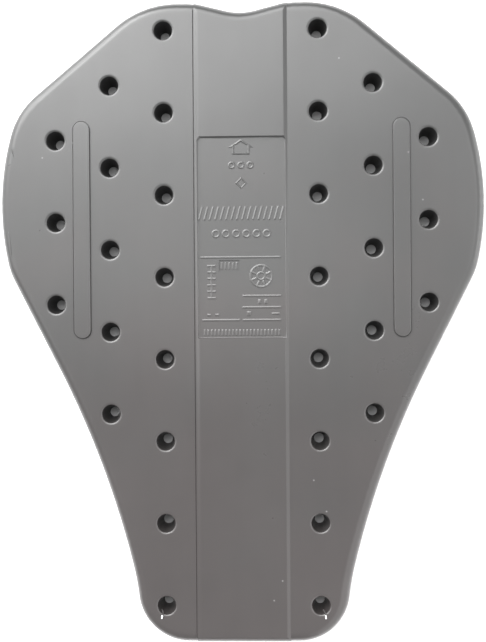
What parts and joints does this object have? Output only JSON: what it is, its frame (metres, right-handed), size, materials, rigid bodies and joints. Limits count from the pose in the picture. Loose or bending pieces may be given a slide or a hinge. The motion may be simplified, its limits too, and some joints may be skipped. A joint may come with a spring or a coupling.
{
  "type": "back protector insert",
  "caption": "Full-back foam protector insert with rounded edges, a neck dip, tapered vent holes, a raised spine strip with a sunken label panel, and long raised pads.",
  "frame": {"origin": "middle of the outline's bounding box, on the flat back face", "axes": "+Z out of the marked front face, +Y towards the neck end, +X to the right as seen from the front"},
  "size_m": [0.3124, 0.413, 0.0172],
  "materials": {
    "foam": "smooth satin skin of dark grey visco-elastic foam"
  },
  "bodies": {
    "root": {"foam_body": "foam"}
  },
  "joints": []
}
